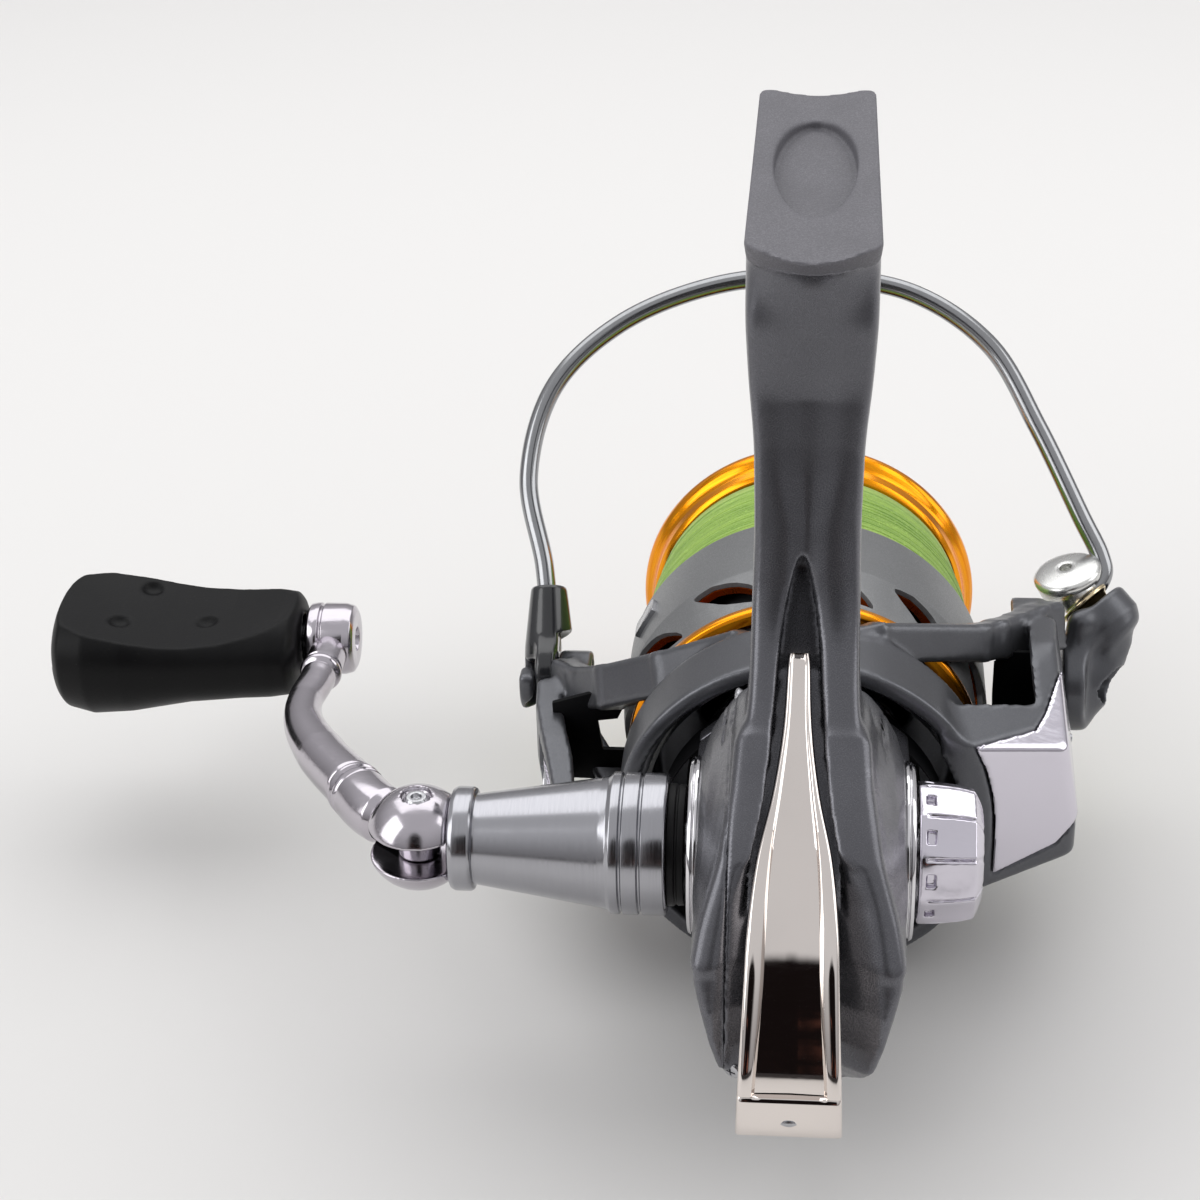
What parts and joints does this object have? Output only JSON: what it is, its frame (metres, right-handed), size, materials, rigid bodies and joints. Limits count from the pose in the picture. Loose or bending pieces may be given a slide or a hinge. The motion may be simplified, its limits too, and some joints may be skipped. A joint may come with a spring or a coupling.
{
  "type": "spinning reel",
  "caption": "Spinning fishing reel with folding handle, turning rotor, wire bail, line roller, sliding spool and front drag knob",
  "frame": {"origin": "middle of the foot's seat on the rod, between its two flat edge rails", "axes": "+Z out of the foot towards the rod, +Y along the spool axis towards the line lip, +X away from the handle"},
  "size_m": [0.1431, 0.1203, 0.101],
  "materials": {
    "body_paint": "dark grey metallic satin paint",
    "rotor_paint": "dark grey metallic satin paint",
    "chrome": "bright chrome plating",
    "steel": "ground and hardened steel",
    "stainless": "polished stainless steel",
    "alloy": "bright silver anodised alloy",
    "brass": "machined brass",
    "zinc": "cast zinc alloy with cut teeth",
    "black_rubber": "soft-touch black rubber",
    "black_plastic": "black moulded plastic",
    "holder_black": "glossy black moulded composite",
    "orange_anodised": "gold-orange anodised alloy",
    "skirt_grey": "mid grey satin coating",
    "line_green": "lime green braided line",
    "felt": "oiled felt",
    "titanium_gold": "pale gold hard coating"
  },
  "bodies": {
    "housing": {"main_housing": "body_paint", "side_cover": "body_paint", "rear_guard": "chrome", "case_screws": "stainless", "trim_rings": "chrome", "gear_bearings": "steel", "pinion_bearings": "steel", "one_way_clutch": "steel", "neck_cover": "black_plastic", "friction_ring": "black_rubber", "slider_guide": "stainless", "gear_post": "steel"},
    "drive": {"drive_gear": "zinc", "axle_spur": "brass", "drive_axle": "steel", "handle_rod": "stainless", "handle_sleeve": "alloy", "sleeve_gasket": "black_rubber", "handle_fork": "chrome", "fold_pin": "stainless"},
    "cap": {"handle_cap": "chrome"},
    "handle": {"handle_arm": "alloy", "knob_shaft": "stainless"},
    "knob": {"knob_grip": "black_rubber", "knob_bushes": "black_plastic"},
    "oscillator": {"oscillation_gear": "zinc"},
    "rotor": {"rotor": "rotor_paint", "arm_covers": "chrome", "arm_cover_screws": "stainless", "pinion_gear": "brass", "clutch_sleeve": "steel", "rotor_nut": "brass", "nut_lock": "stainless", "bail_spring": "stainless", "balance_weight": "zinc", "bail_screws": "stainless"},
    "kick": {"kick_lever": "stainless"},
    "bail": {"bail_wire": "stainless", "bail_holder": "holder_black", "roller_arm": "rotor_paint", "roller_cone": "alloy", "roller_pin": "stainless"},
    "roller": {"line_roller": "titanium_gold", "roller_bush": "black_plastic"},
    "shaft": {"main_shaft": "stainless", "oscillation_slider": "zinc", "shaft_fasteners": "stainless", "click_gear": "black_plastic"},
    "spool": {"spool_body": "skirt_grey", "spool_rear_ring": "orange_anodised", "spool_lip": "orange_anodised", "line_winding": "line_green", "line_clip": "stainless", "spool_bush": "black_plastic", "click_pawl": "black_plastic", "drag_felts": "felt", "drag_discs": "stainless", "drag_clip": "stainless"},
    "drag": {"drag_knob": "black_plastic", "drag_spring": "stainless"}
  },
  "joints": [
    {"name": "handle_turn", "type": "hinge", "parent": "housing", "child": "drive", "pos_m": [0, -0.0255, -0.0705], "axis": [1, 0, 0], "continuous": true},
    {"name": "cap_turn", "type": "hinge", "parent": "drive", "child": "cap", "pos_m": [0.016, -0.0255, -0.0705], "axis": [1, 0, 0], "range_deg": [0, 720]},
    {"name": "handle_fold", "type": "hinge", "parent": "drive", "child": "handle", "pos_m": [-0.0435, -0.0255, -0.0705], "axis": [0, 0, 1], "range_deg": [0, 90]},
    {"name": "knob_spin", "type": "hinge", "parent": "handle", "child": "knob", "pos_m": [-0.08, 0.0245, -0.0744], "axis": [1, 0, 0], "continuous": true},
    {"name": "oscillator_turn", "type": "hinge", "parent": "housing", "child": "oscillator", "pos_m": [0.005, -0.0359, -0.07782], "axis": [1, 0, 0], "continuous": true},
    {"name": "rotor_turn", "type": "hinge", "parent": "housing", "child": "rotor", "pos_m": [0, 0.0045, -0.078], "axis": [0, 1, 0], "continuous": true},
    {"name": "kick_slide", "type": "slide", "parent": "rotor", "child": "kick", "axis": [0, 1, 0], "range_m": [0, 0.002]},
    {"name": "bail_flip", "type": "hinge", "parent": "rotor", "child": "bail", "pos_m": [0, 0.0235, -0.078], "axis": [1, 0, 0], "range_deg": [-110, 0]},
    {"name": "roller_spin", "type": "hinge", "parent": "bail", "child": "roller", "pos_m": [0.0372, 0.02941, -0.07095], "axis": [-0.6712, 0.4765, 0.5679], "continuous": true},
    {"name": "shaft_slide", "type": "slide", "parent": "housing", "child": "shaft", "axis": [0, 1, 0], "range_m": [0, 0.012]},
    {"name": "spool_slip", "type": "hinge", "parent": "shaft", "child": "spool", "pos_m": [0, 0.0345, -0.078], "axis": [0, 1, 0], "continuous": true},
    {"name": "drag_turn", "type": "hinge", "parent": "shaft", "child": "drag", "pos_m": [0, 0.0525, -0.078], "axis": [0, 1, 0], "range_deg": [0, 1080]}
  ],
  "couplings": [
    {"joint": "rotor_turn", "follows": "handle_turn", "ratio": 5},
    {"joint": "oscillator_turn", "follows": "handle_turn", "ratio": -0.5}
  ]
}
